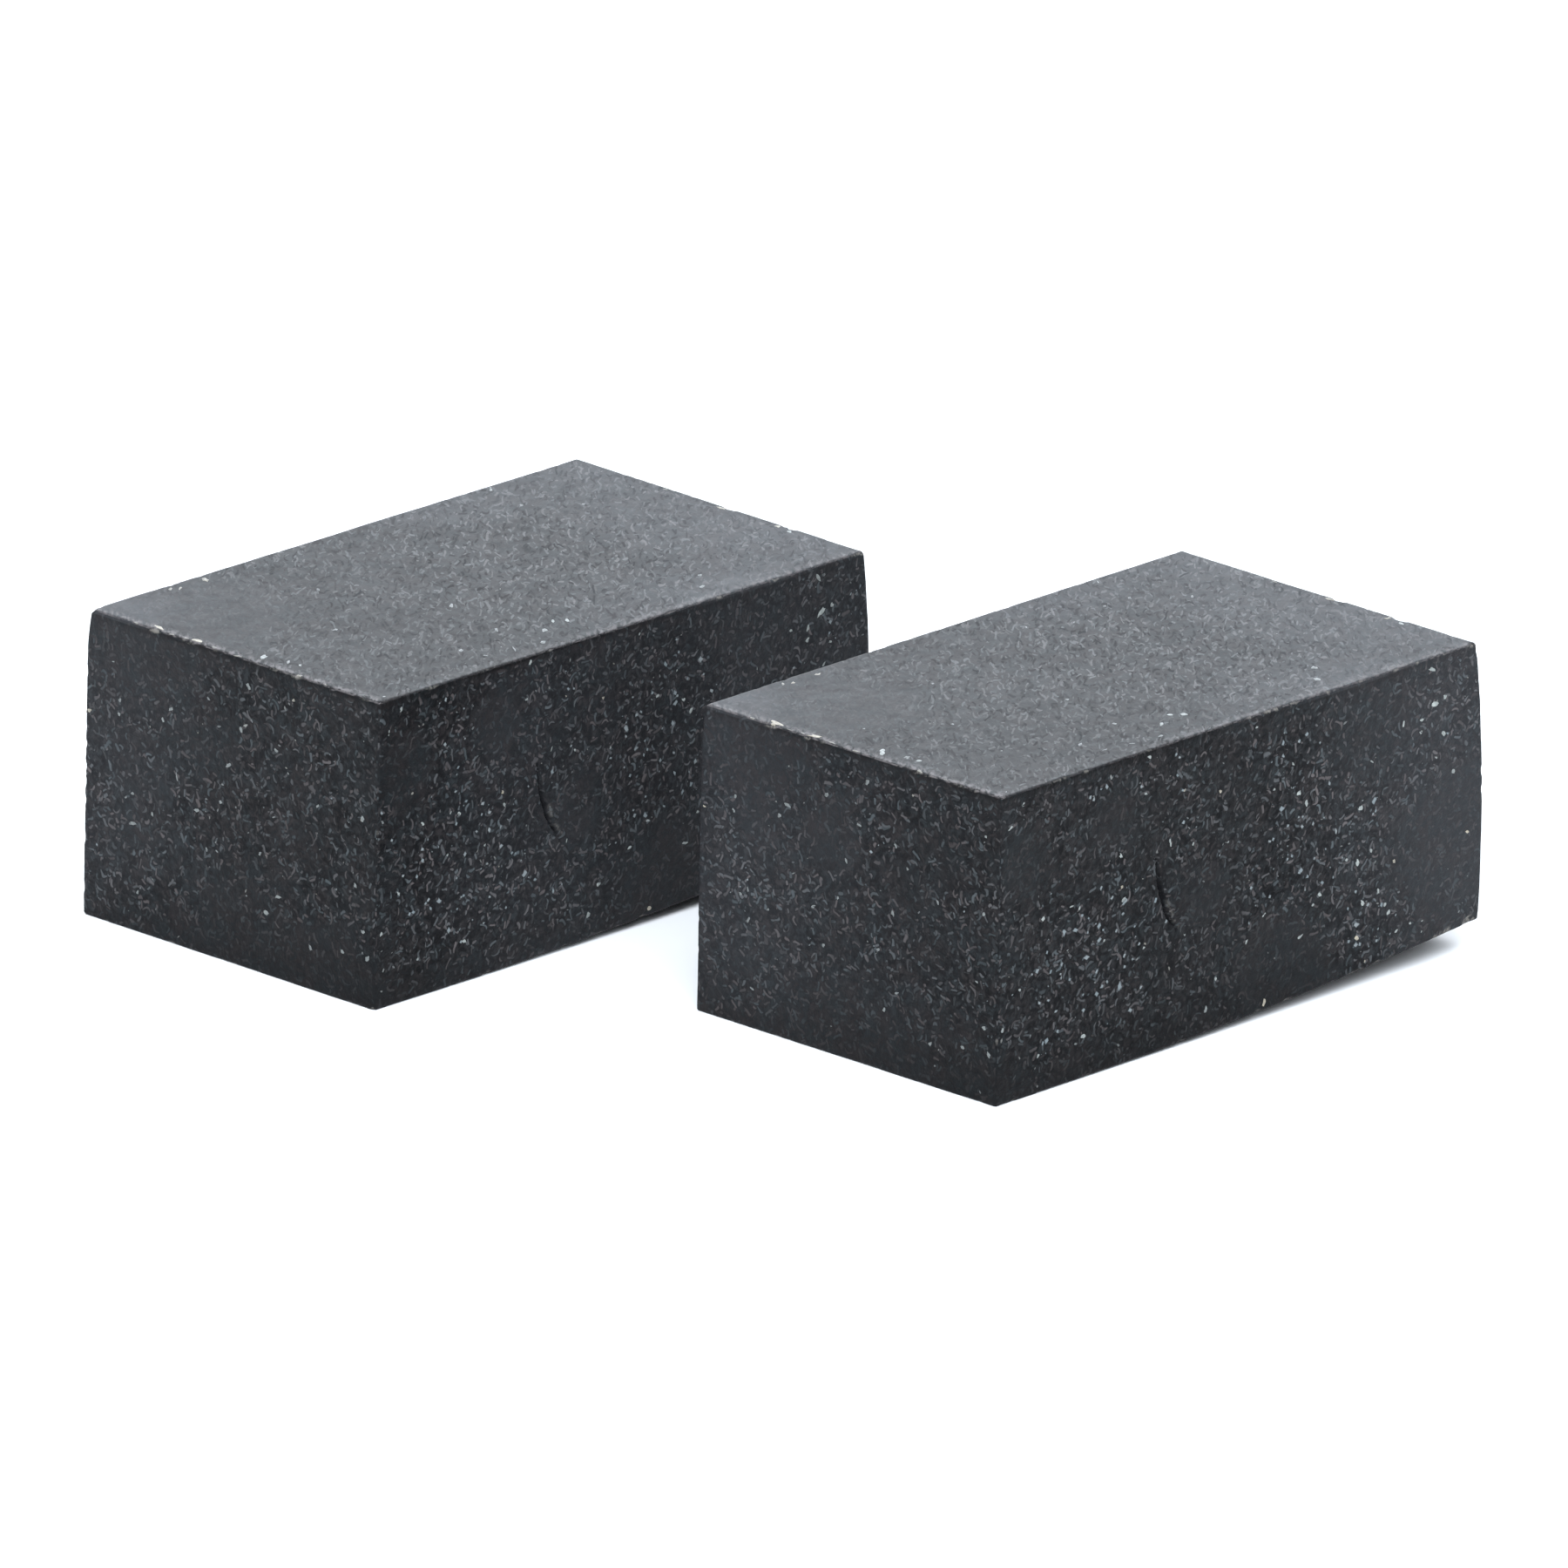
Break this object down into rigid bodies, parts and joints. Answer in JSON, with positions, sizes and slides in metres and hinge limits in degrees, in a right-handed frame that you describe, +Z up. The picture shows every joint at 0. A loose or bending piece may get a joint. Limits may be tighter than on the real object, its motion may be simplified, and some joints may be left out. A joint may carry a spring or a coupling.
{
  "type": "compressed charcoal stick",
  "caption": "Loose rectangular blocks of pressed black charcoal with light mineral grit, with flat faces for broad marks, straight edges for lines and one lower edge rubbed by drawing.",
  "frame": {"origin": "middle of the set's outline, on the table that the sticks lie on", "axes": "+X along the sticks towards their rubbed far corner, +Y from the front stick to the rear stick, +Z up"},
  "size_m": [0.0674, 0.074, 0.0233],
  "materials": {
    "pressed_charcoal": "matt bluish black with a faint satin sheen, light mineral grains and pale chips along the edges"
  },
  "bodies": {
    "rear_stick": {"rear_stick": "pressed_charcoal"},
    "front_stick": {"front_stick": "pressed_charcoal"}
  },
  "joints": [
    {"name": "front_stick_lift", "type": "slide", "parent": "rear_stick", "child": "front_stick", "axis": [0, 0, 1], "range_m": [0, 0.03]}
  ]
}
